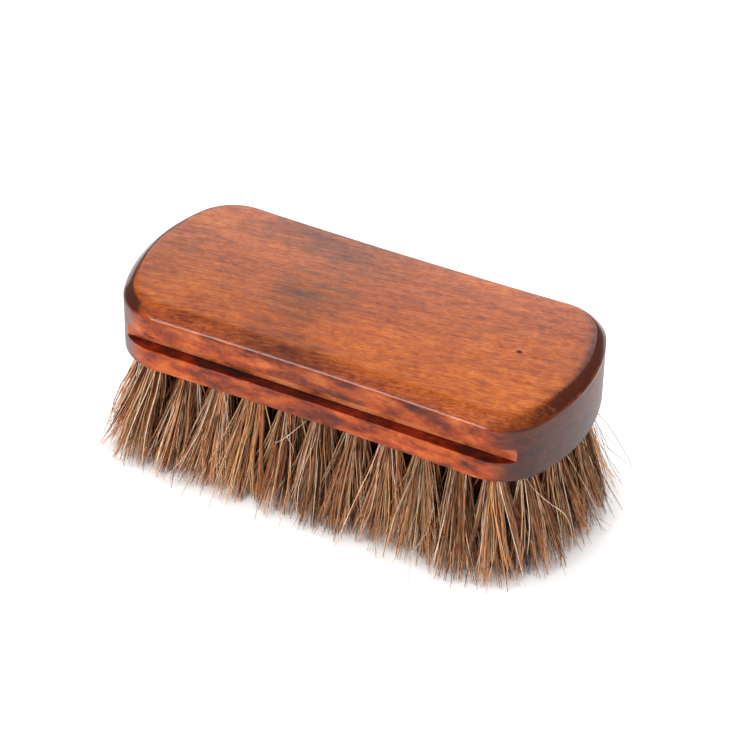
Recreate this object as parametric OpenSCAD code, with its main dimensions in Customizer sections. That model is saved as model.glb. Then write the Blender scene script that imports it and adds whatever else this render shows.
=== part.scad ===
// Shoe shine brush: a wooden back with a finger groove along each long side, drilled from
// below with one blind hole per tuft. Every tuft of hair is folded over a flat wire anchor.
// Units are millimetres. The brush stands on its hair tips at z = 0, +X runs along the block.

/* [Block] */
// Overall length of the wooden block
block_l = 130; // [120:1:150]
// Width of the block at its two widest places
block_w = 58; // [54:1:66]
// Thickness of the block
block_h = 19; // [17:0.5:22]
// How far each end bows out past its corners
end_bow = 9.2; // [4:0.2:12]
// Corner radius seen from above
corner_r = 15.3; // [10:0.1:18]
// How far each long side draws in at its middle
waist = 0.7; // [0:0.1:2]
// Height of the rounded top edge
edge_drop = 2.2; // [1:0.1:3]
// Width of the rounded top edge, seen from above
edge_in = 2.8; // [1:0.1:3.5]

/* [Finger groove] */
// Depth of the groove in from the widest part of the side
groove_d = 3.5; // [2:0.25:4]
// Height of the groove's flat ledge above the underside
groove_z = 6.15; // [5:0.05:8]
// Height of the groove's mouth
groove_h = 4.1; // [3:0.1:5]

/* [Hair] */
// Length of hair below the block
hair_l = 30; // [24:1:34]
// Inset of the outer ring of tufts from the block's outline
ring_inset = 7; // [6.8:0.1:8]
// Distance between tufts along a long side
side_pitch = 9.95; // [9:0.05:10.1]
// Distance between tufts in the inner rows
inner_pitch = 11; // [10.5:0.1:11.2]
// Distance of the two rows next to the ring from the centreline
mid_y = 10.9; // [10.5:0.1:11.2]
// How far the hair tips stand out past the block's long sides
splay_side = 3.8; // [2.4:0.1:6]
// How far the hair tips stand out past the block's ends
splay_end = 2.8; // [2:0.1:5]
// Gap between neighbouring tufts at their tips
tip_gap = 0.6; // [0.4:0.1:1.5]

/* [Holes and anchors] */
// Diameter of each tuft hole
hole_d = 5; // [4.6:0.1:5.2]
// Depth of each tuft hole
hole_depth = 8; // [7:0.5:9]
// Clearance between a tuft's root and its hole, on the radius
root_clear = 0.05; // [0.02:0.01:0.1]
// Length of a wire anchor
anchor_l = 6.2; // [5.8:0.1:6.4]
// Height of a wire anchor
anchor_h = 1.8; // [1.5:0.1:2.2]
// Thickness of a wire anchor
anchor_t = 0.35; // [0.3:0.05:0.45]
// Gap from the anchor to the bottom of its hole, filled by the fold of hair
anchor_up = 1; // [0.8:0.1:1.5]

/* [Hidden] */
under = hair_l;                 // underside of the block
top = hair_l + block_h;         // top face of the block
half_l = block_l / 2;
half_w = block_w / 2;
anchor_turn = 45;               // anchors lie across the grain at this angle

// Plan outline. Each end is an arc that bows out by end_bow over the full width, the corners
// are rounded by corner_r, and the long sides draw in by waist at their middle.
bow_r = (pow(half_w, 2) + pow(end_bow, 2)) / (2 * end_bow);
bow_x = half_l - bow_r;                          // centre of the end arc
core_r = bow_r - corner_r;
core_y = half_w - corner_r;
bow_a = asin(core_y / core_r);                   // half angle of the end arc
core_x = bow_x + core_r * cos(bow_a);            // centre of a corner
bow_steps = 14;
corner_steps = 8;
side_steps = 20;

// One quarter, from the tip of the end (x = half_l, y = 0) to the middle of the side, as
// [x, y, normal x, normal y].
function bow_pt(t) = [bow_x + bow_r * cos(t), bow_r * sin(t), cos(t), sin(t)];
function corner_pt(t) = [core_x + corner_r * cos(t), core_y + corner_r * sin(t), cos(t), sin(t)];
function side_pt(x) = [x, half_w - waist * (1 - pow(x / core_x, 2)), 0, 1];
quarter = concat(
    [for (i = [0 : bow_steps / 2 - 1]) bow_pt(bow_a * i / (bow_steps / 2))],
    [for (i = [0 : corner_steps - 1]) corner_pt(bow_a + (90 - bow_a) * i / corner_steps)],
    [for (i = [0 : side_steps / 2 - 1]) side_pt(core_x * (1 - i / (side_steps / 2)))]);
mid_side = [side_pt(0)];
nq = len(quarter);
function flip_x(p) = [-p[0], p[1], -p[2], p[3]];
function flip_y(p) = [p[0], -p[1], p[2], -p[3]];
outline = concat(
    quarter, mid_side,
    [for (i = [nq - 1 : -1 : 0]) flip_x(quarter[i])],
    [for (i = [1 : nq - 1]) flip_y(flip_x(quarter[i]))],
    [for (p = mid_side) flip_y(p)],
    [for (i = [nq - 1 : -1 : 1]) flip_y(quarter[i])]);
n_out = len(outline);
function inset(d) = [for (p = outline) [p[0] - d * p[2], p[1] - d * p[3]]];

// Hole positions. The ring follows the outline, ring_inset inside it: side_n tufts along each
// long side and four round each end. The three inner rows are staggered.
side_n = 11;
mid_n = 9;
core_n = 10;
end_y = [16, 5.6, -5.6, -16];
side_x = [for (i = [0 : side_n - 1]) (i - (side_n - 1) / 2) * side_pitch];
function side_y(x) = half_w - ring_inset - waist * (1 - pow(x / core_x, 2));
function end_x(y) =
    let (t = asin(abs(y) / (bow_r - ring_inset)))
    t < bow_a ? bow_x + (bow_r - ring_inset) * cos(t)
              : core_x + sqrt(pow(corner_r - ring_inset, 2) - pow(abs(y) - core_y, 2));
ring = concat(
    [for (x = side_x) [x, -side_y(x)]],
    [for (i = [3 : -1 : 0]) [end_x(end_y[i]), end_y[i]]],
    [for (i = [side_n - 1 : -1 : 0]) [side_x[i], side_y(side_x[i])]],
    [for (i = [0 : 3]) [-end_x(end_y[i]), end_y[i]]]);
mid_x = [for (i = [0 : mid_n - 1]) (i - (mid_n - 1) / 2) * inner_pitch];
core_row_x = [for (i = [0 : core_n - 1]) (i - (core_n - 1) / 2) * inner_pitch];
holes = concat(ring,
    [for (x = mid_x) [x, -mid_y]],
    [for (x = core_row_x) [x, 0]],
    [for (x = mid_x) [x, mid_y]]);

// Tip positions on the plane z = 0. Hair fans out, so the tips fill a larger rounded oblong.
// Its outer band belongs to the ring and is shared out evenly; the rows inside share the rest.
tip_l = half_l + splay_end;
tip_w = half_w + splay_side;
ring_depth = 12.6;                               // width of the outer band of tips
row_depth = (2 * (tip_w - ring_depth)) / 3;      // width of each inner row of tips
band_l = tip_l - ring_depth / 2 + 0.4;           // centreline of the outer band
band_w = tip_w - ring_depth / 2;
band_r = 19;
band_bow = 7;
band_bow_r = (pow(band_w, 2) + pow(band_bow, 2)) / (2 * band_bow);
band_a = asin((band_w - band_r) / (band_bow_r - band_r));
band_core_x = band_l - band_bow_r + (band_bow_r - band_r) * cos(band_a);
// The band's centreline from the middle of the front side, round the right end, to the back.
function band_pt(u) =                            // u is the direction of the outward normal
    abs(u) <= band_a
        ? [band_l - band_bow_r + band_bow_r * cos(u), band_bow_r * sin(u)]
        : [band_core_x + band_r * cos(u), sign(u) * (band_w - band_r) + band_r * sin(u)];
band_half = concat([[0, -band_w, -90]],
    [for (u = [-90 : 2 : 90]) let (q = band_pt(u)) [q[0], q[1], u]],
    [[0, band_w, 90]]);
function run(pts, i) = i == 0 ? 0
    : run(pts, i - 1) + norm([pts[i][0] - pts[i - 1][0], pts[i][1] - pts[i - 1][1]]);
band_run = [for (i = [0 : len(band_half) - 1]) run(band_half, i)];
band_len = band_run[len(band_run) - 1];
function along(s, c) = lookup(s, [for (i = [0 : len(band_half) - 1]) [band_run[i], band_half[i][c]]]);
n_ring = len(ring);
tip_pitch = 2 * band_len / n_ring;
// Tuft k counts from the left end of the front row; the middle of that row is (side_n - 1) / 2.
function ring_tip(k) =
    let (m = k - (side_n - 1) / 2, j = m > n_ring / 2 ? m - n_ring : m, s = abs(j) * tip_pitch,
         x = along(s, 0), y = along(s, 1), u = along(s, 2))
    [sign(j) * x, y, j < 0 ? 180 - u : u];

// The undrilled block: upright sides, then the rounded top edge up to the flat top face.
module blank() {
    steps = 4;
    rings = concat(
        [[for (p = inset(0)) [p[0], p[1], under]]],
        [for (k = [0 : steps]) let (t = 90 * k / steps)
            [for (p = inset(edge_in * (1 - cos(t)))) [p[0], p[1], top - edge_drop * (1 - sin(t))]]]);
    last = len(rings) - 1;
    polyhedron(
        points = [for (r = rings) each r],
        faces = concat(
            [[for (i = [0 : n_out - 1]) i]],
            [for (k = [0 : last - 1], i = [0 : n_out - 1]) let (j = (i + 1) % n_out)
                [k * n_out + i, (k + 1) * n_out + i, (k + 1) * n_out + j, k * n_out + j]],
            [[for (i = [n_out - 1 : -1 : 0]) last * n_out + i]]),
        convexity = 4);
}

// A finger groove: flat ledge, upright back wall and flat roof. It is milled straight along
// X, so it runs out where the corners curve away.
module groove() {
    translate([-half_l - 1, -half_w - 2, under + groove_z])
        cube([block_l + 2, groove_d + 2, groove_h]);
}

module hole(p) {
    translate([p[0], p[1], under - 1]) cylinder(h = hole_depth + 1, d = hole_d, $fn = 48);
}

// The anchor is driven up the hole, so its two ends leave a slit in the wall all the way.
module slit(p) {
    z1 = under + hole_depth - anchor_up;
    translate([p[0], p[1], (under - 1 + z1) / 2]) rotate([0, 0, anchor_turn])
        cube([anchor_l, anchor_t, z1 - under + 1], center = true);
}

module anchor(p) {
    z1 = under + hole_depth - anchor_up;
    translate([p[0], p[1], z1 - anchor_h / 2]) rotate([0, 0, anchor_turn])
        cube([anchor_l, anchor_t, anchor_h], center = true);
}

module block() {
    color([0.55, 0.24, 0.11]) difference() {
        blank();
        groove();
        mirror([0, 1, 0]) groove();
        for (p = holes) {
            hole(p);
            slit(p);
        }
    }
}

module tuft_anchors() {
    color([0.72, 0.66, 0.5]) for (p = holes) anchor(p);
}

// One tuft: a round root that fills its hole with the anchor through it, and below the block
// the hair, which swells a little as it leaves the hole and fans out to an oval tip on the
// plane z = 0. t holds the tip's place and turn.
module tuft(p, t, r_out, r_side) {
    r = hole_d / 2 - root_clear;
    color([0.5, 0.38, 0.27]) difference() {
        union() {
            translate([p[0], p[1], under - 0.5])
                cylinder(h = hole_depth + 0.5 - root_clear, r = r, $fn = 48);
            hull() {
                translate([p[0], p[1], under - 0.6]) cylinder(h = 0.35, r = r + 0.2, $fn = 24);
                translate([t[0], t[1], 0]) rotate([0, 0, t[2]]) scale([r_out, r_side, 1])
                    cylinder(h = 0.8, r = 1, $fn = 24);
            }
        }
        anchor(p);
    }
}

module ring_tuft(i) {
    tuft(ring[i - 1], ring_tip(i - 1), (ring_depth - tip_gap) / 2, (tip_pitch - tip_gap) / 2);
}

// side is -1 for the front row, 0 for the middle row and 1 for the back row.
module row_tuft(xs, i, side) {
    x = xs[i - 1];
    spread = (tip_l - ring_depth) / (inner_pitch * (core_n + 0.2) / 2);
    tuft([x, side * mid_y], [x * spread, side * row_depth, 0],
        (inner_pitch * spread - tip_gap) / 2, (row_depth - tip_gap) / 2);
}

block();
tuft_anchors();
ring_tuft(1);  // tuft_ring_01
ring_tuft(2);  // tuft_ring_02
ring_tuft(3);  // tuft_ring_03
ring_tuft(4);  // tuft_ring_04
ring_tuft(5);  // tuft_ring_05
ring_tuft(6);  // tuft_ring_06
ring_tuft(7);  // tuft_ring_07
ring_tuft(8);  // tuft_ring_08
ring_tuft(9);  // tuft_ring_09
ring_tuft(10);  // tuft_ring_10
ring_tuft(11);  // tuft_ring_11
ring_tuft(12);  // tuft_ring_12
ring_tuft(13);  // tuft_ring_13
ring_tuft(14);  // tuft_ring_14
ring_tuft(15);  // tuft_ring_15
ring_tuft(16);  // tuft_ring_16
ring_tuft(17);  // tuft_ring_17
ring_tuft(18);  // tuft_ring_18
ring_tuft(19);  // tuft_ring_19
ring_tuft(20);  // tuft_ring_20
ring_tuft(21);  // tuft_ring_21
ring_tuft(22);  // tuft_ring_22
ring_tuft(23);  // tuft_ring_23
ring_tuft(24);  // tuft_ring_24
ring_tuft(25);  // tuft_ring_25
ring_tuft(26);  // tuft_ring_26
ring_tuft(27);  // tuft_ring_27
ring_tuft(28);  // tuft_ring_28
ring_tuft(29);  // tuft_ring_29
ring_tuft(30);  // tuft_ring_30
row_tuft(mid_x, 1, -1);  // tuft_mid_f1
row_tuft(mid_x, 2, -1);  // tuft_mid_f2
row_tuft(mid_x, 3, -1);  // tuft_mid_f3
row_tuft(mid_x, 4, -1);  // tuft_mid_f4
row_tuft(mid_x, 5, -1);  // tuft_mid_f5
row_tuft(mid_x, 6, -1);  // tuft_mid_f6
row_tuft(mid_x, 7, -1);  // tuft_mid_f7
row_tuft(mid_x, 8, -1);  // tuft_mid_f8
row_tuft(mid_x, 9, -1);  // tuft_mid_f9
row_tuft(mid_x, 1, 1);  // tuft_mid_b1
row_tuft(mid_x, 2, 1);  // tuft_mid_b2
row_tuft(mid_x, 3, 1);  // tuft_mid_b3
row_tuft(mid_x, 4, 1);  // tuft_mid_b4
row_tuft(mid_x, 5, 1);  // tuft_mid_b5
row_tuft(mid_x, 6, 1);  // tuft_mid_b6
row_tuft(mid_x, 7, 1);  // tuft_mid_b7
row_tuft(mid_x, 8, 1);  // tuft_mid_b8
row_tuft(mid_x, 9, 1);  // tuft_mid_b9
row_tuft(core_row_x, 1, 0);  // tuft_core_01
row_tuft(core_row_x, 2, 0);  // tuft_core_02
row_tuft(core_row_x, 3, 0);  // tuft_core_03
row_tuft(core_row_x, 4, 0);  // tuft_core_04
row_tuft(core_row_x, 5, 0);  // tuft_core_05
row_tuft(core_row_x, 6, 0);  // tuft_core_06
row_tuft(core_row_x, 7, 0);  // tuft_core_07
row_tuft(core_row_x, 8, 0);  // tuft_core_08
row_tuft(core_row_x, 9, 0);  // tuft_core_09
row_tuft(core_row_x, 10, 0);  // tuft_core_10
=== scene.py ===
"""Looks of the shoe shine brush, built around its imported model.

Everything is in metres in the model's own frame: +X runs along the block, +Z is up, and the
brush stands on its hair tips at z = 0. Lengths below are written in millimetres times MM.
"""

import math

import bmesh
import bpy
import numpy as np
from mathutils import Matrix, Vector


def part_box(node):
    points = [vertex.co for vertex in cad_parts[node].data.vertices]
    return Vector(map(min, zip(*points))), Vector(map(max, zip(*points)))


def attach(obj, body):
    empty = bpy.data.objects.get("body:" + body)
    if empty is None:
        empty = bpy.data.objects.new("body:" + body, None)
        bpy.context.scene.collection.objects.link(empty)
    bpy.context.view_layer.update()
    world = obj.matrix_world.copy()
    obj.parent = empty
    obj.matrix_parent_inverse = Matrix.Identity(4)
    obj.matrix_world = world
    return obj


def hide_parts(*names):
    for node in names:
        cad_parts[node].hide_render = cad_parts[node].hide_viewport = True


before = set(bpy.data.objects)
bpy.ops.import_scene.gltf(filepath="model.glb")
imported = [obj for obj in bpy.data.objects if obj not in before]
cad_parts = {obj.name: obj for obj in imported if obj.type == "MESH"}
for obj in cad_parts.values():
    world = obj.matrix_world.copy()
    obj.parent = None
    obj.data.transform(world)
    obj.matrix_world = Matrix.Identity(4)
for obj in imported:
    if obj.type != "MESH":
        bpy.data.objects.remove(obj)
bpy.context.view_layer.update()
scene = bpy.context.scene
MM = 0.001
UNDER = round(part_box("block")[0].z / MM, 3)  # the block's underside, the hair's free length above the table
TOP = UNDER + 19.0


# ---------------------------------------------------------------------------------------
# Camera: solved from the outline of the block
# ---------------------------------------------------------------------------------------


def place_camera():
    azimuth, elevation, roll = map(math.radians, (26.8530, 36.8870, 1.0366))
    sa, ca, se, ce = math.sin(azimuth), math.cos(azimuth), math.sin(elevation), math.cos(elevation)
    right, up, back = Vector((ca, sa, 0)), Vector((-sa * se, ca * se, ce)), Vector((sa * ce, -ca * ce, se))
    x_axis = math.cos(roll) * right + math.sin(roll) * up
    y_axis = math.cos(roll) * up - math.sin(roll) * right
    unit = 130 * MM
    place = Vector((0, 0, (UNDER + 9.5) * MM)) + unit * (0.005621 * x_axis - 0.061018 * y_axis + 5.90466 * back)
    data = bpy.data.cameras.new("camera")
    data.sensor_fit = "HORIZONTAL"
    data.sensor_width = 36.0
    data.lens = 2916.595 * 36 / 730
    data.clip_start, data.clip_end = 0.05, 50
    camera = bpy.data.objects.new("camera", data)
    scene.collection.objects.link(camera)
    m = Matrix((x_axis, y_axis, back)).transposed().to_4x4()
    m.translation = place
    camera.matrix_world = m
    scene.camera = camera


place_camera()


# ---------------------------------------------------------------------------------------
# Node helpers
# ---------------------------------------------------------------------------------------


class Nodes:
    """A short way to write a material's nodes."""

    def __init__(self, name):
        self.mat = bpy.data.materials.new(name)
        self.mat.use_nodes = True
        self.tree = self.mat.node_tree
        self.bsdf = self.tree.nodes["Principled BSDF"]
        self.output = self.tree.nodes["Material Output"]

    def new(self, kind):
        return self.tree.nodes.new(kind)

    def link(self, source, socket):
        if hasattr(source, "is_output") or isinstance(source, bpy.types.NodeSocket):
            self.tree.links.new(source, socket)
        else:
            socket.default_value = source

    def coords(self):
        return self.new("ShaderNodeTexCoord").outputs["Object"]

    def vec(self, op, a, b=None, scale=None):
        n = self.new("ShaderNodeVectorMath")
        n.operation = op
        self.link(a, n.inputs[0])
        if b is not None:
            self.link(b, n.inputs[1])
        if scale is not None:
            self.link(scale, n.inputs["Scale"])
        return n.outputs["Value"] if op in ("DOT_PRODUCT", "LENGTH", "DISTANCE") else n.outputs["Vector"]

    def math(self, op, a, b=None, c=None, clamp=False):
        n = self.new("ShaderNodeMath")
        n.operation, n.use_clamp = op, clamp
        for value, socket in zip((a, b, c), n.inputs):
            if value is not None:
                self.link(value, socket)
        return n.outputs[0]

    def add(self, *values):
        total = values[0]
        for v in values[1:]:
            total = self.math("ADD", total, v)
        return total

    def mul(self, a, b):
        return self.math("MULTIPLY", a, b)

    def split(self, v):
        n = self.new("ShaderNodeSeparateXYZ")
        self.link(v, n.inputs[0])
        return n.outputs

    def join(self, x, y, z):
        n = self.new("ShaderNodeCombineXYZ")
        for value, socket in zip((x, y, z), n.inputs):
            self.link(value, socket)
        return n.outputs[0]

    def noise(self, v, scale=1.0, detail=2.0, rough=0.5, distort=0.0, colour=False, w=None):
        n = self.new("ShaderNodeTexNoise")
        n.noise_dimensions = "3D" if w is None else "4D"
        self.link(v, n.inputs["Vector"])
        if w is not None:
            self.link(w, n.inputs["W"])
        self.link(scale, n.inputs["Scale"])
        n.inputs["Detail"].default_value = detail
        n.inputs["Roughness"].default_value = rough
        n.inputs["Distortion"].default_value = distort
        return n.outputs["Color" if colour else "Fac"]

    def step(self, v, low, high, to_low=0.0, to_high=1.0):
        """Smooth step from to_low at low to to_high at high."""
        n = self.new("ShaderNodeMapRange")
        n.interpolation_type = "SMOOTHSTEP"
        self.link(v, n.inputs["Value"])
        for name, value in (("From Min", low), ("From Max", high), ("To Min", to_low), ("To Max", to_high)):
            self.link(value, n.inputs[name])
        return n.outputs[0]

    def linear(self, v, low, high, to_low=0.0, to_high=1.0):
        n = self.new("ShaderNodeMapRange")
        self.link(v, n.inputs["Value"])
        for name, value in (("From Min", low), ("From Max", high), ("To Min", to_low), ("To Max", to_high)):
            self.link(value, n.inputs[name])
        return n.outputs[0]

    def ramp(self, v, stops):
        n = self.new("ShaderNodeValToRGB")
        self.link(v, n.inputs[0])
        r = n.color_ramp
        while len(r.elements) < len(stops):
            r.elements.new(0.5)
        for e, (at, colour) in zip(r.elements, stops):
            e.position = at
            e.color = (*colour, 1.0)
        return n.outputs[0]

    def mix(self, fac, a, b, mode="MIX"):
        n = self.new("ShaderNodeMix")
        n.data_type, n.blend_type = "RGBA", mode
        self.link(fac, n.inputs["Factor"])
        for value, name in ((a, 6), (b, 7)):
            if isinstance(value, tuple):
                n.inputs[name].default_value = (*value, 1.0)
            else:
                self.link(value, n.inputs[name])
        return n.outputs[2]

    def bump(self, height, strength, distance, normal=None):
        n = self.new("ShaderNodeBump")
        n.inputs["Strength"].default_value = strength
        n.inputs["Distance"].default_value = distance
        self.link(height, n.inputs["Height"])
        if normal is not None:
            self.link(normal, n.inputs["Normal"])
        return n.outputs[0]

    def attribute(self, name, kind="Fac"):
        n = self.new("ShaderNodeAttribute")
        n.attribute_name = name
        return n.outputs[kind]

    def set(self, **values):
        for name, value in values.items():
            self.link(value, self.bsdf.inputs[name.replace("_", " ")])


def srgb(r, g, b):
    """An 8-bit display colour as linear light."""
    return tuple(c / 255 / 12.92 if c / 255 <= 0.04045 else ((c / 255 + 0.055) / 1.055) ** 2.4 for c in (r, g, b))


# ---------------------------------------------------------------------------------------
# Materials
# ---------------------------------------------------------------------------------------


def stained_wood():
    """Fine-grained wood with a brown-red stain rubbed on unevenly, under satin lacquer.

    Everything is worked out as one number, the depth of the stain, and coloured at the end; the painted shade and
    painted light in the grooves ride on that number too.
    """
    t = Nodes("stained_wood")
    p = t.vec("SCALE", t.coords(), scale=1000.0)  # millimetres
    x, y, z = t.split(p)
    z = t.math("SUBTRACT", z, UNDER)  # height in the block

    # The board's grain runs about ten degrees off the block's length and wanders a little.
    wander = t.mul(t.math("SUBTRACT", t.noise(t.join(t.mul(x, 0.016), t.mul(y, 0.03), t.mul(z, 0.03)), detail=1), 0.5), 9.0)
    c, s = math.cos(math.radians(9.5)), math.sin(math.radians(9.5))
    along = t.add(t.mul(x, c), t.mul(y, s))
    across = t.add(t.mul(x, -s), t.mul(y, c), wander)

    def grain(length, width, detail=3, rough=0.55, shift=0.0):
        v = t.join(t.math("ADD", t.mul(along, 1 / length), shift), t.mul(across, 1 / width), t.mul(z, 1 / width))
        return t.math("SUBTRACT", t.noise(v, detail=detail, rough=rough), 0.5)

    figure = grain(30, 13, 2, 0.5, 3.1)  # broad blotches where the board drank more stain
    flames = grain(13, 2.3, 3, 0.6, 7.7)
    streaks = grain(9.0, 0.46, 3, 0.6, 1.3)
    fine = grain(1.9, 0.26, 2, 0.6, 5.9)
    mottle = t.math("SUBTRACT", t.noise(t.join(t.mul(x, 0.32), t.mul(y, 0.42), t.mul(z, 0.42)), detail=3, rough=0.65), 0.5)

    # Places on the top where the board took the stain as a dark smoky cast, and places where
    # it stayed amber: x, y, half length, half width, amount
    rag = t.mul(t.math("SUBTRACT", t.noise(t.join(t.mul(x, 0.16), t.mul(y, 0.22), t.mul(z, 0.2)), detail=3, rough=0.6, distort=0.4), 0.5), 1.5)

    def cast(places):
        total = None
        for px, py, lx, ly, amount in places:
            e = t.vec("LENGTH", t.join(t.mul(t.math("SUBTRACT", x, px), 1 / lx), t.mul(t.math("SUBTRACT", y, py), 1 / ly), 0.0))
            blob = t.step(t.math("ADD", e, rag), 0.1, 1.6, amount, 0.0)
            total = blob if total is None else t.math("ADD", total, blob)
        return total

    on_top = t.step(z, 15.9, 17.0)
    on_side = t.math("SUBTRACT", 1.0, on_top)
    smoke = cast([(-13, -4, 12, 9, 0.50), (-12, -23, 13, 8, 0.30), (-3, -27, 18, 4.5, 0.34), (-22, 21, 18, 8, 0.50), (-8, 14, 13, 9, 0.28), (-56, -2, 8, 19, 0.26), (12, -3, 13, 6, 0.07), (20, 16, 22, 9, 0.07), (-34, -3, 30, 22, 0.20)])
    amber = cast([(26, -17, 34, 10, 0.07), (-40, -16, 17, 8, 0.05), (46, -6, 12, 14, 0.05), (57, -14, 9, 13, 0.08), (-43, -16, 10, 7, 0.05), (44, 20, 9, 6, 0.04), (-17, 11.6, 10, 1.5, 0.10)])
    smoke, amber = t.mul(smoke, on_top), t.mul(amber, on_top)

    # The sides: redder, in short patches along the grain
    patch = t.math("SUBTRACT", t.noise(t.join(t.mul(x, 0.10), t.mul(y, 0.13), t.mul(z, 0.30)), detail=3, rough=0.6), 0.5)
    left_lip = t.mul(t.step(x, -26, -40), t.step(z, 6.4, 5.8))
    lip = t.mul(t.step(z, 9.8, 10.4), t.add(t.mul(t.step(x, -34, -28), t.step(x, -6, -12)), t.step(x, 31, 38), t.mul(t.mul(t.step(x, 4, 10), t.step(x, 34, 28)), -0.8), t.mul(t.step(x, 31, 38), t.step(z, 12, 14))))
    side = t.mul(on_side, t.add(-0.030, t.mul(lip, -0.045), t.mul(patch, 1.9), t.mul(left_lip, -0.09)))
    under_lip = t.mul(t.step(z, 6.2, 5.6), t.mul(t.step(x, -37, -25), t.step(x, 12, -8)))
    above = t.mul(t.step(z, 9.8, 10.6), t.mul(t.step(x, -14, -4), t.step(x, 20, 8)))
    side_smoke = t.mul(on_side, t.add(t.mul(under_lip, 0.21), t.mul(above, 0.17), t.step(patch, 0.02, 0.22, 0.0, 0.30)))
    # The milled grooves: painted shade on the ledge under the lip, partly also stain pooled there, and painted light on
    # the back wall, partly also a paler stain
    from_middle = t.math("ABSOLUTE", y)
    inside = t.mul(t.mul(t.step(from_middle, 29.3, 28.2), t.step(from_middle, 25.2, 25.4)), t.mul(t.step(z, 5.95, 6.1), t.step(z, 10.4, 10.2)))
    inside = t.mul(inside, on_side)
    groove = t.mul(inside, t.step(z, 6.3, 6.6, 0.32, -0.27))
    ledge = t.mul(inside, t.step(z, 6.6, 6.3))
    # End grain drinks the most
    end_face = t.mul(on_side, t.math("MAXIMUM", t.step(x, 48.0, 57.0), t.step(x, -50.0, -58.0)))
    end_face = t.mul(end_face, t.math("SUBTRACT", 1.0, inside))

    # The rounded top edge was burnt dark at both ends and is a little darker elsewhere.
    rim = t.attribute("rim")
    right, left = t.step(x, 48.0, 60.0), t.step(x, -49.5, -55.0)
    burn_noise = t.noise(t.join(t.mul(x, 0.25), t.mul(y, 0.25), t.mul(z, 0.5)), detail=3, rough=0.6)
    burn = t.add(t.mul(t.mul(t.step(rim, 0.0, 0.9), right), t.step(y, -24, 4, 0.55, 0.92)), t.mul(t.mul(t.step(rim, 0.62, 0.98), left), 1.7))
    burn = t.mul(burn, t.add(0.60, t.mul(burn_noise, 0.8)))
    burn = t.math("ADD", burn, t.mul(t.mul(t.step(x, 52.0, 63.5), on_top), t.add(0.06, t.mul(burn_noise, 0.42))))
    arris = t.mul(t.attribute("arris"), t.mul(right, 0.40))  # rubbed back to brown on the right end's very edge
    burn = t.mul(burn, t.math("SUBTRACT", 1.0, arris))

    calm = t.add(1.0, t.mul(on_side, -0.5))  # the planed sides show less grain
    depth = t.add(
        0.395,
        t.mul(figure, 0.34),
        t.mul(flames, 0.34),
        t.mul(t.mul(streaks, calm), 0.56),
        t.mul(t.mul(fine, calm), 0.60),
        t.mul(mottle, 0.56),
        side,
        groove,
        t.mul(rim, 0.06),
        t.mul(amber, -1.0),
    )
    # Pin knot on the top near the right end, and a dark fleck in the lip near the left end
    knot = t.vec("LENGTH", t.join(t.mul(t.math("SUBTRACT", x, 44.6), 0.72), t.math("SUBTRACT", y, 1.2), 0.0))
    pin = t.mul(t.step(knot, 0.85, 0.45), t.mul(on_top, 0.9))
    depth = t.add(depth, t.mul(t.mul(t.step(knot, 0.8, 1.1), t.step(knot, 1.8, 1.2)), t.mul(on_top, -0.08)), t.mul(t.attribute("fleck"), 0.35))

    colour = t.ramp(
        depth,
        [
            (0.00, (0.600, 0.190, 0.034)),
            (0.18, (0.460, 0.115, 0.016)),
            (0.36, (0.335, 0.068, 0.009)),
            (0.55, (0.190, 0.033, 0.006)),
            (0.75, (0.080, 0.014, 0.004)),
            (1.00, (0.018, 0.006, 0.004)),
        ],
    )
    wall = t.mul(inside, t.step(z, 6.3, 6.6))
    colour = t.mix(t.mul(t.mul(on_side, 0.8), t.add(1.0, t.mul(wall, -0.9))), colour, (1.15, 0.68, 0.46), "MULTIPLY")
    # Painted sheen: the upper part of the sides is tinted greyer and bluer
    colour = t.mix(t.mul(on_side, t.step(z, 12.0, 14.5)), colour, (0.88, 1.0, 1.6), "MULTIPLY")
    # Painted shade on the ledge under the lip, partly pooled stain; painted light on the back wall, less of it towards
    # the groove ends
    colour = t.mix(ledge, colour, (0.84, 0.46, 0.20), "MULTIPLY")
    colour = t.mix(wall, colour, (1.32, 1.42, 3.0), "MULTIPLY")
    colour = t.mix(t.mul(wall, t.step(t.math("ABSOLUTE", x), 43, 52)), colour, (0.70, 0.48, 0.44), "MULTIPLY")
    # Painted sheen on the eased edge along both sides: a paler, bluer tint
    edge_sheen = t.mul(t.step(rim, 0.5, 0.85), t.math("SUBTRACT", 1.0, t.math("MAXIMUM", right, left)))
    colour = t.mix(edge_sheen, colour, (1.02, 1.12, 2.4), "MULTIPLY")
    # The dark cast, of the top's patches, the burnt rim and the end grain
    wisps = t.add(1.0, t.mul(streaks, 1.1), t.mul(flames, 0.9))
    smoke = t.mul(t.add(smoke, side_smoke), wisps)
    burn = t.math("MINIMUM", t.mul(burn, t.add(1.0, t.mul(streaks, 0.5), t.mul(flames, 0.7))), 0.96)
    colour = t.mix(burn, colour, (0.048, 0.009, 0.004))
    smoke = t.math("MAXIMUM", smoke, pin, clamp=True)
    colour = t.mix(t.math("MINIMUM", smoke, 0.97), colour, (0.040, 0.016, 0.012))
    slate = t.mix(t.step(z, 2.0, 14.0), (0.022, 0.016, 0.015), (0.047, 0.012, 0.009))
    colour = t.mix(t.mul(end_face, t.math("MINIMUM", t.add(0.86, t.mul(patch, -1.5)), 0.97)), colour, slate)
    # Pores: short dark dashes along the grain
    pores = t.noise(t.join(t.mul(along, 1 / 1.6), t.mul(across, 1 / 0.16), t.mul(z, 1 / 0.16)), detail=1)
    pore = t.step(pores, 0.60, 0.70)
    colour = t.mix(t.mul(pore, 0.45), colour, (0.070, 0.016, 0.008))

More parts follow.
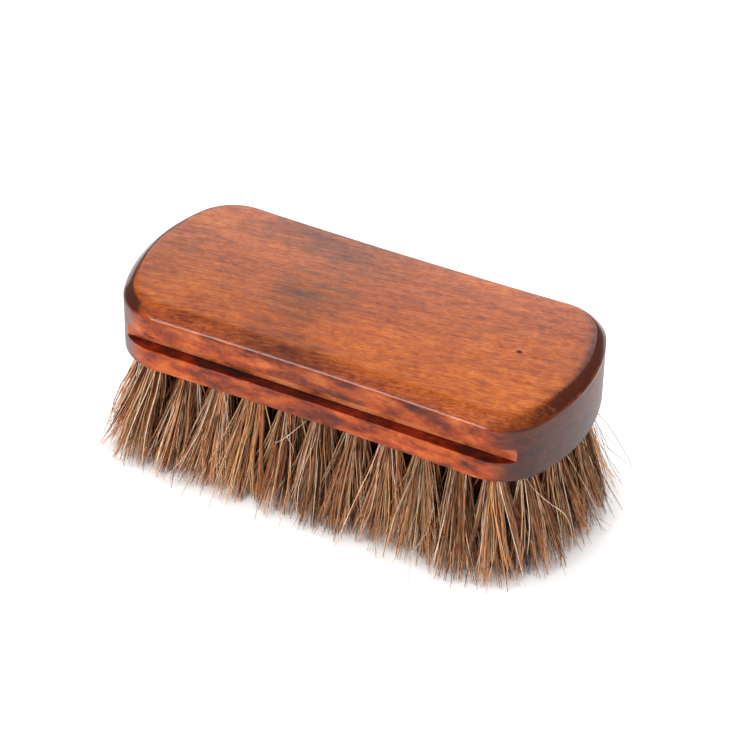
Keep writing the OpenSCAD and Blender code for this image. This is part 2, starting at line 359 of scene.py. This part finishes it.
    rough = t.add(0.13, t.mul(mottle, 0.07), t.mul(streaks, 0.05), t.mul(on_side, 0.05), t.mul(end_face, 0.20))
    height = t.add(t.mul(streaks, 0.5), t.mul(fine, 0.5), t.mul(pore, -0.7))
    wave = t.noise(t.join(t.mul(along, 0.12), t.mul(across, 0.3), t.mul(z, 0.3)), detail=2)
    normal = t.bump(wave, 0.08, 0.0003)
    normal = t.bump(height, 0.10, 0.00008, normal)
    t.set(Base_Color=colour, Roughness=rough, Normal=normal, IOR=1.5)
    t.link(t.add(0.50, t.mul(on_side, -0.25), t.mul(end_face, 0.10)), t.bsdf.inputs["Specular IOR Level"])
    return t.mat


def bare_wood():
    """The drilled holes' walls: raw wood with some stain soaked in."""
    t = Nodes("drilled_wood")
    p = t.vec("SCALE", t.coords(), scale=1000.0)
    x, y, z = t.split(p)
    rings = t.noise(t.join(t.mul(x, 0.3), t.mul(y, 0.9), t.mul(z, 3.0)), detail=3, rough=0.6)
    colour = t.ramp(rings, [(0.3, (0.30, 0.15, 0.07)), (0.7, (0.52, 0.32, 0.17))])
    t.set(Base_Color=colour, Roughness=0.75, Normal=t.bump(rings, 0.4, 0.0001))
    return t.mat


def hair_look():
    """Horsehair: each hair's own colour, a little uneven along its length, with a soft gloss."""
    t = Nodes("horsehair")
    p = t.vec("SCALE", t.coords(), scale=1000.0)
    tint = t.attribute("tint", "Color")
    x, y, z = t.split(p)
    uneven = t.noise(t.join(t.mul(x, 1.1), t.mul(y, 1.1), t.mul(z, 0.35)), detail=2)
    shade = t.linear(uneven, 0.25, 0.75, 0.66, 1.30)
    colour = t.vec("SCALE", tint, scale=shade)
    colour = t.mix(t.step(z, 10.0, 1.0), colour, (1.16, 1.17, 1.18), "MULTIPLY")  # the tips are paler: partly paler hair ends, partly painted light from the floor
    t.set(Base_Color=colour, Roughness=0.45, IOR=1.5)
    t.bsdf.inputs["Specular IOR Level"].default_value = 0.16
    return t.mat


def wire_look():
    """Flat drawn steel wire with fine drawing lines."""
    t = Nodes("drawn_wire")
    p = t.vec("SCALE", t.coords(), scale=1000.0)
    x, y, z = t.split(p)
    lines = t.noise(t.join(t.mul(x, 1.2), t.mul(y, 1.2), t.mul(z, 22.0)), detail=3)
    colour = t.ramp(lines, [(0.3, (0.46, 0.44, 0.40)), (0.7, (0.66, 0.64, 0.60))])
    t.set(Base_Color=colour, Metallic=1.0, Roughness=t.linear(lines, 0.3, 0.7, 0.25, 0.42), Normal=t.bump(lines, 0.3, 0.00003))
    return t.mat


WOOD, DRILLED, HAIR, WIRE = stained_wood(), bare_wood(), hair_look(), wire_look()


# ---------------------------------------------------------------------------------------
# The wooden block
# ---------------------------------------------------------------------------------------

HALF_L, HALF_W = 65.0, 29.0
BOW, CORNER, WAIST = 9.2, 15.3, 0.7
BACK_WALL = 25.5  # |y| of the finger grooves' back walls
LEDGE, ROOF = UNDER + 6.15, UNDER + 10.25  # z of the grooves' ledge and roof
HOLE_R, HOLE_TOP = 2.5, UNDER + 8.0


def block_outline():
    """Points of the block seen from above, as rows of x, y, normal x, normal y, anticlockwise."""
    bow_r = (HALF_W**2 + BOW**2) / (2 * BOW)
    bow_x, core_r, core_y = HALF_L - bow_r, bow_r - CORNER, HALF_W - CORNER
    bow_a = math.asin(core_y / core_r)
    core_x = bow_x + core_r * math.cos(bow_a)
    run_out = math.asin((BACK_WALL - core_y) / CORNER)  # where the groove leaves the corner
    quarter = [(bow_x + bow_r * math.cos(a), bow_r * math.sin(a), math.cos(a), math.sin(a)) for a in np.linspace(0, bow_a, 22, endpoint=False)]
    turns = np.concatenate([np.linspace(bow_a, run_out, 10, endpoint=False), np.linspace(run_out, math.pi / 2, 14, endpoint=False)])
    quarter += [(core_x + CORNER * math.cos(a), core_y + CORNER * math.sin(a), math.cos(a), math.sin(a)) for a in turns]
    for x in np.linspace(core_x, 0, 34):
        slope = 2 * WAIST * x / core_x**2
        n = math.hypot(slope, 1)
        quarter.append((x, HALF_W - WAIST * (1 - (x / core_x) ** 2), -slope / n, 1 / n))
    q = np.array(quarter)
    q[0, 1] = 0.0
    left = q[:-1][::-1] * (-1, 1, -1, 1)
    half = np.concatenate([q, left])
    back = half[1:-1][::-1] * (1, -1, 1, -1)
    return np.concatenate([half, back])


def edge_profile(front):
    """The eased top edge from its arris to the flat top, as rows of inset and z.

    The front is rubbed down a little further than the back and has a softer arris.
    """
    if front:
        base, small, large, turn, end, power = TOP - 3.20, 0.4, 3.5, math.radians(30), math.radians(47), 0.3
    else:
        base, small, large, turn, end, power = TOP - 2.42, 0.48, 0.48, math.radians(20), math.radians(44), 0.45
    row = [(small * (1 - math.cos(a)), base + small * math.sin(a)) for a in np.linspace(0, turn, 5)]
    x0, z0 = row[-1]
    row += [(x0 + large * (math.cos(turn) - math.cos(a)), z0 + large * (math.sin(a) - math.sin(turn))) for a in np.linspace(turn, end, 7)[1:]]
    x0, z0 = row[-1]
    s = np.linspace(0, 1, 17)
    angle = (math.pi / 2 - end) * (1 - s) ** power
    steps = np.diff(s)
    mid = (angle[1:] + angle[:-1]) / 2
    run = np.concatenate([[0], np.cumsum(np.cos(mid) * steps)])
    rise = np.concatenate([[0], np.cumsum(np.sin(mid) * steps)])
    up = (TOP - z0) / rise[-1]
    out = up if front else (2.8 - x0) / run[-1]
    return np.array(row + [(x0 + out * r, z0 + up * h) for r, h in zip(run[1:], rise[1:])])


def tuft_shape(node):
    """The root centre, tip centre, tip axes and half widths of a CAD tuft, in millimetres."""
    co = np.array([v.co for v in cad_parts[node].data.vertices]) * 1000
    root = co[co[:, 2] > UNDER + 4][:, :2]
    root = (root.min(0) + root.max(0)) / 2
    tips = co[co[:, 2] < 0.01][:, :2]
    tip = (tips.min(0) + tips.max(0)) / 2
    d = np.unique(np.round(tips - tip, 4), axis=0)
    _, axes = np.linalg.eigh(d.T @ d)
    axes = axes.T
    return root, tip, axes, np.abs(d @ axes.T).max(0)


TUFTS = sorted(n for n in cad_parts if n.startswith("tuft_") and n != "tuft_anchors")
SHAPES = {n: tuft_shape(n) for n in TUFTS}


def build_block():
    out = block_outline()
    n = len(out)
    xy, normal = out[:, :2], out[:, 2:]
    depth = np.maximum(0, np.abs(xy[:, 1]) - BACK_WALL)  # how deep the groove is at each point
    ease = np.minimum(0.4, depth * 0.5)
    rings, rims, edges_at = [], [], []

    def ring(inset, z, inward=None, rim=0.0, edge=0.0):
        p = xy - np.broadcast_to(inset, n)[:, None] * normal
        if inward is not None:
            p = p.copy()
            p[:, 1] -= np.sign(p[:, 1]) * np.minimum(inward, depth)
        rings.append(np.column_stack([p, np.broadcast_to(z, n)]))
        rims.append(np.broadcast_to(rim, n))
        edges_at.append(np.broadcast_to(edge, n))

    for a in np.linspace(0, math.pi / 2, 5):
        ring(0.4 * (1 - math.sin(a)), UNDER + 0.4 * (1 - math.cos(a)))
    ring(0, UNDER + 2.5)
    ring(0, UNDER + 4.5)
    for a in np.linspace(0, math.pi / 2, 5):
        ring(0, LEDGE - ease * (1 - math.sin(a)), ease * (1 - math.cos(a)))
    for f in (0.35, 0.7, 0.93, 1.0):
        ring(0, LEDGE, ease + f * (depth - ease))
    for f in (0.05, 0.3, 0.5, 0.7, 0.95, 1.0):
        ring(0, LEDGE + f * (ROOF - LEDGE), depth)
    for f in (0.93, 0.6, 0.3, 0.0):
        ring(0, ROOF, ease + f * (depth - ease))
    for a in np.linspace(0, math.pi / 2, 5)[1:]:
        ring(0, ROOF + ease * (1 - math.cos(a)), ease * (1 - math.sin(a)))
    ring(0, UNDER + 12.5)
    ring(0, UNDER + 14.5)
    ring(0, UNDER + 15.4, rim=0.15)
    facing = np.clip((0.15 - normal[:, 1]) / 0.7, 0, 1)  # 1 at the front, 0 at the back
    facing = (facing**2 * (3 - 2 * facing))[:, None]
    for front, back in zip(edge_profile(True), edge_profile(False)):
        inset, z = (front * facing + back * (1 - facing)).T
        rim = np.interp(inset, [0, 0.5, 1.9, 2.8, 3.4, 4.0, 4.6], [0.45, 1.0, 1.0, 0.74, 0.50, 0.30, 0.16])
        ring(inset, z, rim=rim, edge=np.maximum(0.0, 1.0 - inset / 0.75))
    for inset, rim in ((4.9, 0.12), (5.8, 0.04), (7.0, 0.0), (10.0, 0.0)):
        ring(inset, TOP, rim=rim)

    m = bmesh.new()
    rim_layer = m.verts.layers.float.new("rim")
    fleck_layer = m.verts.layers.float.new("fleck")
    arris_layer = m.verts.layers.float.new("arris")
    made = []
    for points, rim, edge in zip(rings, rims, edges_at):
        row = []
        for p, r, e in zip(points, rim, edge):
            v = m.verts.new(p * MM)
            v[rim_layer] = r
            v[arris_layer] = e
            row.append(v)
        made.append(row)
    for low, high in zip(made, made[1:]):
        for i in range(n):
            j = (i + 1) % n
            m.faces.new((low[i], low[j], high[j], high[i]))
    m.faces.new(made[-1])

    # The underside, with a blind hole for each tuft
    loops = [made[0]]
    hole_faces = []
    sides = 28
    for name in TUFTS:
        cx, cy = SHAPES[name][0]
        turn = [(math.cos(2 * math.pi * k / sides), math.sin(2 * math.pi * k / sides)) for k in range(sides)]
        rows = [[m.verts.new(Vector((cx + r * c, cy + r * s, z)) * MM) for c, s in turn] for r, z in ((HOLE_R + 0.15, UNDER), (HOLE_R, UNDER + 0.15), (HOLE_R, UNDER + 4), (HOLE_R, HOLE_TOP))]
        for low, high in zip(rows, rows[1:]):
            for k in range(sides):
                hole_faces.append(m.faces.new((low[k], high[k], high[(k + 1) % sides], low[(k + 1) % sides])))
        hole_faces.append(m.faces.new(rows[-1]))
        loops.append(rows[0])
    edges = set()
    for loop in loops:
        for k in range(len(loop)):
            a, b = loop[k], loop[(k + 1) % len(loop)]
            edges.add(m.edges.get((a, b)) or m.edges.new((a, b)))
    bmesh.ops.triangle_fill(m, use_beauty=True, use_dissolve=False, edges=list(edges), normal=(0, 0, -1))
    for f in hole_faces:
        f.material_index = 1
    bmesh.ops.remove_doubles(m, verts=m.verts, dist=2e-6)
    bmesh.ops.dissolve_degenerate(m, edges=m.edges, dist=1e-7)
    bmesh.ops.recalc_face_normals(m, faces=m.faces)
    mesh = bpy.data.meshes.new("wooden_block")
    m.to_mesh(mesh)
    m.free()
    mesh.materials.append(WOOD)
    mesh.materials.append(DRILLED)
    obj = bpy.data.objects.new("wooden_block", mesh)
    scene.collection.objects.link(obj)

    # Shallow marks cut out of the surface: the pin knot's pit and a splinter gone from the lip
    cuts = bmesh.new()

    def pit(place, size, seed):
        rnd = np.random.default_rng(seed)
        made = bmesh.ops.create_icosphere(cuts, subdivisions=3, radius=1.0)["verts"]
        for v in made:
            f = 1 + 0.12 * math.sin(5 * v.co.x + seed) * math.cos(4 * v.co.y) + 0.03 * rnd.standard_normal()
            v.co = Vector([place[k] + size[k] * v.co[k] * f for k in range(3)]) * MM

    pit((44.6, 1.2, TOP + 0.12), (0.62, 0.42, 0.5), 3)
    pit((-49.0, -29.05, UNDER + 11.3), (1.1, 0.35, 0.55), 5)
    pit((-47.2, -28.95, UNDER + 10.75), (0.8, 0.3, 0.4), 8)
    cut_mesh = bpy.data.meshes.new("cuts")
    cuts.to_mesh(cut_mesh)
    cuts.free()
    cutter = bpy.data.objects.new("cuts", cut_mesh)
    scene.collection.objects.link(cutter)
    mod = obj.modifiers.new("marks", "BOOLEAN")
    mod.operation, mod.solver, mod.object = "DIFFERENCE", "EXACT", cutter
    bpy.context.view_layer.update()
    result = bpy.data.meshes.new_from_object(obj.evaluated_get(bpy.context.evaluated_depsgraph_get()))
    obj.modifiers.clear()
    obj.data = result
    result.name = "wooden_block"
    bpy.data.objects.remove(cutter)
    bpy.data.meshes.remove(cut_mesh)
    bpy.data.meshes.remove(mesh)
    co = np.empty(len(result.vertices) * 3)
    result.vertices.foreach_get("co", co)
    co = co.reshape(-1, 3) * 1000
    fleck = np.exp(-(((co - (-48.4, -28.9, UNDER + 11.0)) / (2.2, 1.0, 0.9)) ** 2).sum(1))
    result.attributes["fleck"].data.foreach_set("value", fleck.astype(np.float32))
    result.polygons.foreach_set("use_smooth", [True] * len(result.polygons))
    result.set_sharp_from_angle(angle=math.radians(34))
    obj.modifiers.new("weighted", "WEIGHTED_NORMAL").keep_sharp = True
    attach(obj, "root")
    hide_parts("block")
    return obj


build_block()


# ---------------------------------------------------------------------------------------
# The hair
# ---------------------------------------------------------------------------------------

ANCHOR_DIRECTION = np.array([math.cos(math.pi / 4), math.sin(math.pi / 4), 0.0])
ANCHOR_SIDE = np.array([-ANCHOR_DIRECTION[1], ANCHOR_DIRECTION[0], 0.0])

# Hair colours (linear light) and how common each is
COATS = [
    ((0.690, 0.335, 0.160), 0.22),  # tan
    ((0.960, 0.600, 0.380), 0.17),  # pale straw
    ((0.450, 0.178, 0.074), 0.24),  # fox brown
    ((0.560, 0.350, 0.160), 0.09),  # dull gold
    ((0.200, 0.072, 0.030), 0.17),  # brown
    ((0.050, 0.020, 0.010), 0.11),  # dark brown
    ((0.360, 0.250, 0.185), 0.02),  # ash
    ((1.000, 0.780, 0.580), 0.11),  # cream
]


def tubes(paths, radii, tints, phases, reference):
    """Closed three-sided tubes along paths (n, m, 3), in millimetres: points, faces, tints."""
    n, m, _ = paths.shape
    t = np.empty_like(paths)
    t[:, 1:-1] = paths[:, 2:] - paths[:, :-2]
    t[:, 0] = paths[:, 1] - paths[:, 0]
    t[:, -1] = paths[:, -1] - paths[:, -2]
    t /= np.linalg.norm(t, axis=2, keepdims=True)
    ref = np.broadcast_to(reference, t.shape)
    a = ref - (ref * t).sum(2, keepdims=True) * t
    a /= np.linalg.norm(a, axis=2, keepdims=True)
    b = np.cross(t, a)
    k = 3
    turn = phases[:, None] + np.arange(k) * 2 * math.pi / k
    co, si = np.cos(turn)[:, None, :, None], np.sin(turn)[:, None, :, None]
    points = paths[:, :, None, :] + radii[:, :, None, None] * (co * a[:, :, None, :] + si * b[:, :, None, :])
    index = np.arange(n * m * k).reshape(n, m, k)
    nxt = np.roll(index, -1, axis=2)
    quads = np.stack([index[:, :-1], nxt[:, :-1], nxt[:, 1:], index[:, 1:]], axis=-1).reshape(-1, 4)
    ends = np.concatenate([index[:, 0, ::-1], index[:, -1]])
    colours = np.repeat(tints[:, None, :], m * k, axis=1).reshape(-1, 3)
    return points.reshape(-1, 3), quads, ends, colours


def hair_mesh(name, groups):
    """One mesh from the results of several tubes() calls."""
    base, points, quads, ends, colours = 0, [], [], [], []
    for p, q, e, c in groups:
        points.append(p)
        quads.append(q + base)
        ends.append(e + base)
        colours.append(c)
        base += len(p)
    points, quads, ends, colours = map(np.concatenate, (points, quads, ends, colours))
    mesh = bpy.data.meshes.new(name)
    mesh.vertices.add(len(points))
    mesh.vertices.foreach_set("co", (points * MM).astype(np.float32).ravel())
    corners = np.concatenate([quads.ravel(), ends.ravel()])
    mesh.loops.add(len(corners))
    mesh.loops.foreach_set("vertex_index", corners.astype(np.int32))
    starts = np.concatenate([np.arange(len(quads)) * 4, len(quads) * 4 + np.arange(len(ends)) * 3])
    mesh.polygons.add(len(starts))
    mesh.polygons.foreach_set("loop_start", starts.astype(np.int32))
    mesh.polygons.foreach_set("use_smooth", [True] * len(starts))
    tint = mesh.attributes.new("tint", "FLOAT_COLOR", "POINT")
    tint.data.foreach_set("color", np.column_stack([colours, np.ones(len(colours))]).astype(np.float32).ravel())
    mesh.update()
    mesh.validate()
    mesh.materials.append(HAIR)
    return mesh


def pick_tints(rnd, count):
    colours = np.array([c for c, _ in COATS])
    chance = np.array([w for _, w in COATS])
    return colours[rnd.choice(len(COATS), count, p=chance / chance.sum())] * np.exp(rnd.normal(-0.02, 0.40, (count, 1)))


def lean(root):
    """How far use has pushed a tuft's tips over, in millimetres."""
    x, y = root
    side = HALF_W - 7
    out = np.array([0.0, 0.7 * max(-1.0, min(1.0, y / side))])
    near = np.clip((-12 - y) / 9, 0, 1)  # 1 towards the front, 0 towards the back
    out += np.clip((-x - 38) / 14, 0, 1) * np.array([-3.2 * near + 3.8 * (1 - near), -3.8 * near])
    out += np.clip((x - 44) / 12, 0, 1) * np.array([1.6 * near - 0.4 * (1 - near), 0.0])
    out += np.clip((x - 26) / 14, 0, 1) * np.array([0.0, -1.7 * near])
    return out


def tuft_hairs(node, folds, rnd):
    """Hairs folded in half over the anchor: both ends of each run down and fan out to a tip.

    The hairs lie in locks that cling together and share a colour. Each lock leans the way it
    leaves the hole, so the tuft opens into a fan, and a few hairs go their own way.
    """
    root, tip, axes, half = SHAPES[node]
    count = folds * 2
    locks = rnd.integers(27, 35)
    lock = rnd.choice(locks, folds, p=rnd.dirichlet(np.full(locks, 2.5)))
    loose = rnd.random(folds) < 0.30  # hairs that belong to no lock

    # Where each hair crosses the mouth of the hole, in a disc split by the anchor
    r = np.sqrt(rnd.uniform(0.01, 1, locks)) * 2.1
    a = rnd.uniform(0, math.pi, locks)
    r_own, a_own = np.sqrt(rnd.uniform(0.01, 1, folds)) * 2.2, rnd.uniform(0, math.pi, folds)
    along = np.where(loose, r_own * np.cos(a_own), (r * np.cos(a))[lock] + rnd.normal(0, 0.22, folds))
    side = np.where(loose, r_own * np.sin(a_own), (r * np.sin(a))[lock] + rnd.normal(0, 0.22, folds))
    along = np.concatenate([along, along + rnd.normal(0, 0.15, folds)])
    side = np.concatenate([np.maximum(side, 0.32), -np.maximum(side + rnd.normal(0, 0.15, folds), 0.32)])
    shrink = np.minimum(1, 2.26 / np.hypot(along, side))
    along, side = along * shrink, side * shrink
    mouth = root + along[:, None] * ANCHOR_DIRECTION[:2] + side[:, None] * ANCHOR_SIDE[:2]

    # Where each lock's tip stands in the open fan, as a point of the unit disc
    both = np.concatenate([lock, lock + locks])
    lock_along = np.concatenate([r * np.cos(a)] * 2)
    lock_side = np.concatenate([np.maximum(r * np.sin(a), 0.3), -np.maximum(r * np.sin(a), 0.3)])
    spot = (lock_along[:, None] * ANCHOR_DIRECTION[:2] + lock_side[:, None] * ANCHOR_SIDE[:2]) / 2.2
    spot = spot + rnd.normal(0, 0.40, spot.shape)
    spot /= np.maximum(1, np.linalg.norm(spot, axis=1, keepdims=True) / 1.12)
    tight = np.exp(rnd.normal(math.log(0.07), 0.5, 2 * locks))
    unit = spot[both] + rnd.normal(0, 1, (count, 2)) * tight[both][:, None]
    free_going = np.concatenate([loose, loose])
    unit[free_going] = (mouth[free_going] - root) / 2.26 + rnd.normal(0, 0.42, (free_going.sum(), 2))
    fan = np.maximum(half, 7.6)  # half widths of the open fan
    spread = (unit @ axes.T) * fan @ axes
    wild = rnd.random(count) < 0.07
    spread[wild] = spread[wild] * rnd.uniform(0.9, 1.3, (wild.sum(), 1)) + rnd.normal(0, 1.6, (wild.sum(), 2))
    tips = tip + lean(root) + spread
    lock_height = np.abs(rnd.normal(0, 0.7, 2 * locks))
    height = 0.12 + lock_height[both] * 0.35 + np.abs(rnd.normal(0, 0.3, count)) + 0.12 * (unit**2).sum(1)
    short = rnd.random(count) < 0.12
    height[short] += rnd.uniform(0.8, 6.0, short.sum())

    # The free length, from the mouth (s = 0) to the tip (s = 1)
    s = np.array([0.0, 0.14, 0.32, 0.52, 0.72, 0.88, 1.0])
    power = rnd.uniform(0.98, 1.42, count)
    reach = s[None, :] ** power[:, None]
    free = np.empty((count, len(s), 3))
    free[:, :, :2] = mouth[:, None] + (tips - mouth)[:, None] * reach[:, :, None]
    free[:, :, 2] = UNDER + (height - UNDER)[:, None] * s[None, :]
    lock_bend = rnd.normal(0, 0.95, (2 * locks, 2))
    own_bend = rnd.normal(0, 1, (count, 2)) * np.minimum(rnd.gamma(1.2, np.where(free_going, 0.9, 0.18), count), 2.0)[:, None]
    bend = np.where(free_going[:, None], 0.0, lock_bend[both]) + own_bend
    free[:, :, :2] += bend[:, None] * (np.sin(math.pi * s) * (0.35 + 0.65 * s))[None, :, None]
    kink = rnd.normal(0, 0.30, (2 * locks, 2))[both] + rnd.normal(0, 0.10, (count, 2))
    free[:, :, :2] += kink[:, None] * np.sin(2.3 * math.pi * s)[None, :, None]

    # Inside the hole: straight up beside the anchor, over it and down the other side
    base = np.concatenate([mouth, np.zeros((count, 1))], axis=1)
    inside = [base + (0, 0, UNDER + 3.5), base + (0, 0, UNDER + 6.95)]
    middle = root + ((along[:folds] + along[folds:]) / 2)[:, None] * ANCHOR_DIRECTION[:2]
    top = np.column_stack([middle, UNDER + 7.2 + 0.62 * rnd.random(folds)])
    one, two = slice(0, folds), slice(folds, count)
    path = np.concatenate(
        [free[one][:, ::-1], inside[0][one][:, None], inside[1][one][:, None], top[:, None], inside[1][two][:, None], inside[0][two][:, None], free[two]],
        axis=1,
    )
    thick = rnd.uniform(0.11, 0.175, folds)
    taper = np.interp(s, [0, 0.75, 1], [1.0, 0.85, 0.42])
    radius = thick[:, None] * np.concatenate([taper[::-1], np.ones(5), taper])[None, :]
    # Keep every hair above the surface that the brush stands on
    path[:, :, 2] = np.maximum(path[:, :, 2], 0.12)
    own = loose | (rnd.random(folds) < 0.18)
    tints = np.where(own[:, None], pick_tints(rnd, folds), pick_tints(rnd, locks)[lock])
    tints = np.maximum(tints * np.exp(rnd.normal(0, 0.13, (folds, 1))) * np.exp(rnd.normal(0, 0.03, (folds, 3))), 0.006)
    tints = tints / np.maximum(1, tints.max(axis=1, keepdims=True) / 0.96)  # as light as hair gets, its hue kept
    return tubes(path, radius, tints, rnd.uniform(0, 6.28, folds), ANCHOR_DIRECTION)


# Single hairs that have worked loose and stand out from the rest: tint, radius, then points
STRAYS = [
    ((0.10, 0.07, 0.055), 0.10, [(60.5, 9, 31), (62.6, 9.9, 26), (66.3, 10.9, 20), (71.7, 14.7, 13)]),
    ((0.12, 0.08, 0.06), 0.10, [(61, 9, 31), (64.1, 9.7, 26), (66.8, 12.6, 14), (70.6, 14.4, 6)]),
    ((0.95, 0.86, 0.74), 0.17, [(51, -22.5, 31), (52.7, -25.4, 27), (57, -26.6, 15), (63.5, -30, 1)]),
    ((0.90, 0.68, 0.46), 0.14, [(56, -17, 31), (57.3, -18.8, 26), (61.9, -17.1, 20), (66.2, -13.4, 14), (68.4, -13.2, 8), (69.5, -15, 3)]),
    ((0.80, 0.58, 0.40), 0.10, [(-55, -17, 31), (-59, -20.5, 22), (-63.5, -25, 10), (-65.5, -28.5, 2)]),
    ((0.85, 0.70, 0.55), 0.10, [(-57, -13, 31), (-62.5, -15.5, 20), (-68.5, -18, 8), (-71, -19.5, 4)]),
    ((0.88, 0.78, 0.66), 0.10, [(-8.6, -27, 31), (-6.2, -30.5, 26), (-3.6, -31.4, 22), (-4.4, -30, 19)]),
    ((0.88, 0.78, 0.66), 0.10, [(-2.4, -27, 31), (-4.6, -30.6, 26), (-7.6, -31.8, 23), (-9.4, -31.2, 21.5)]),
    ((0.20, 0.13, 0.09), 0.11, [(58, 16, 31), (63, 19.5, 20), (67.5, 24, 8), (69, 25.5, 3)]),
    ((0.60, 0.40, 0.25), 0.11, [(30, -23, 31), (32.5, -29.5, 18), (31, -36, 6), (29, -38, 1)]),
]


def curve(points, steps=14):
    """A smooth line through the points."""
    p = np.array(points, float)
    p = np.concatenate([[2 * p[0] - p[1]], p, [2 * p[-1] - p[-2]]])
    out = []
    for a, b, c, d in zip(p, p[1:], p[2:], p[3:]):
        for u in np.linspace(0, 1, steps // (len(points) - 1) + 2)[:-1]:
            out.append(0.5 * (2 * b + (c - a) * u + (2 * a - 5 * b + 4 * c - d) * u**2 + (3 * b - 3 * c + d - a) * u**3))
    return np.array(out + [p[-2]])


def build_hair():
    seed = 7100
    loose_ends = {}
    for stray in STRAYS:
        start = np.array(stray[2][0][:2], float)
        loose_ends.setdefault(min(TUFTS, key=lambda n: np.linalg.norm(SHAPES[n][0] - start)), []).append(stray)
    for name in TUFTS:
        seed += 1
        rnd = np.random.default_rng(seed)
        folds = 150 if "ring" in name else 165
        groups = [tuft_hairs(name, folds, rnd)]
        for tint, radius, points in loose_ends.get(name, []):
            root = np.append(SHAPES[name][0], UNDER + 6)
            first = np.array([*((np.array(points[0][:2]) - root[:2]) * 0.2 + root[:2]), UNDER + 0.4])
            path = curve([root, first] + [(px, py, pz - 1 if pz > 30 else pz) for px, py, pz in points[1:]])
            taper = radius * np.interp(np.linspace(0, 1, len(path)), [0, 0.6, 1], [1.0, 0.9, 0.5])
            groups.append(tubes(path[None], taper[None], np.array([tint]), np.zeros(1), ANCHOR_DIRECTION))
        mesh = hair_mesh("hair_" + name[5:], groups)
        obj = bpy.data.objects.new("hair_" + name[5:], mesh)
        scene.collection.objects.link(obj)
        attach(obj, "root")
        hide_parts(name)


build_hair()

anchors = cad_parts["tuft_anchors"]
anchors.data.materials.clear()
anchors.data.materials.append(WIRE)


# ---------------------------------------------------------------------------------------
# Studio: a pale floor and soft light
# ---------------------------------------------------------------------------------------


def studio():
    floor_mesh = bpy.data.meshes.new("floor")
    floor_mesh.from_pydata([(-4, -4, 0), (4, -4, 0), (4, 4, 0), (-4, 4, 0)], [], [(0, 1, 2, 3)])
    floor = bpy.data.objects.new("floor", floor_mesh)
    scene.collection.objects.link(floor)
    t = Nodes("floor")
    t.set(Base_Color=(0.93, 0.93, 0.93, 1), Roughness=0.9)
    t.bsdf.inputs["Specular IOR Level"].default_value = 0.0
    floor_mesh.materials.append(t.mat)

    world = bpy.data.worlds.new("studio")
    scene.world = world
    world.use_nodes = True
    world.node_tree.nodes["Background"].inputs["Color"].default_value = (1, 1, 1, 1)
    world.node_tree.nodes["Background"].inputs["Strength"].default_value = 0.19

    def softbox(name, direction, distance, width, height, power, gloss=True, facing=None, roll=0.0):
        data = bpy.data.lights.new(name, "AREA")
        data.shape, data.size, data.size_y, data.energy = "RECTANGLE", width, height, power
        light = bpy.data.objects.new(name, data)
        d = Vector(direction).normalized()
        light.location = d * distance
        turn = Vector(facing or d).to_track_quat("Z", "Y").to_matrix() @ Matrix.Rotation(math.radians(roll), 3, "Z")
        light.rotation_euler = turn.to_euler()
        light.visible_glossy = gloss
        scene.collection.objects.link(light)

    softbox("overhead", (-0.15, 0.10, 1.0), 1.5, 1.4, 1.4, 34.5, gloss=False)
    softbox("front_left", (-0.29, -0.82, 0.62), 1.7, 0.9, 0.35, 9.0)
    softbox("backdrop", (-0.90, 1.70, 1.09), 2.211, 1.9, 0.62, 8.0, facing=(0, 1, 0), roll=4.5)
    softbox("right", (0.85, -0.42, 0.36), 1.8, 0.5, 0.5, 5.5, gloss=False)
    scene.view_settings.view_transform = "Standard"
    scene.view_settings.look = "None"
    scene.view_settings.exposure = 0.0
    scene.view_settings.gamma = 1.0


studio()

bpy.context.view_layer.update()
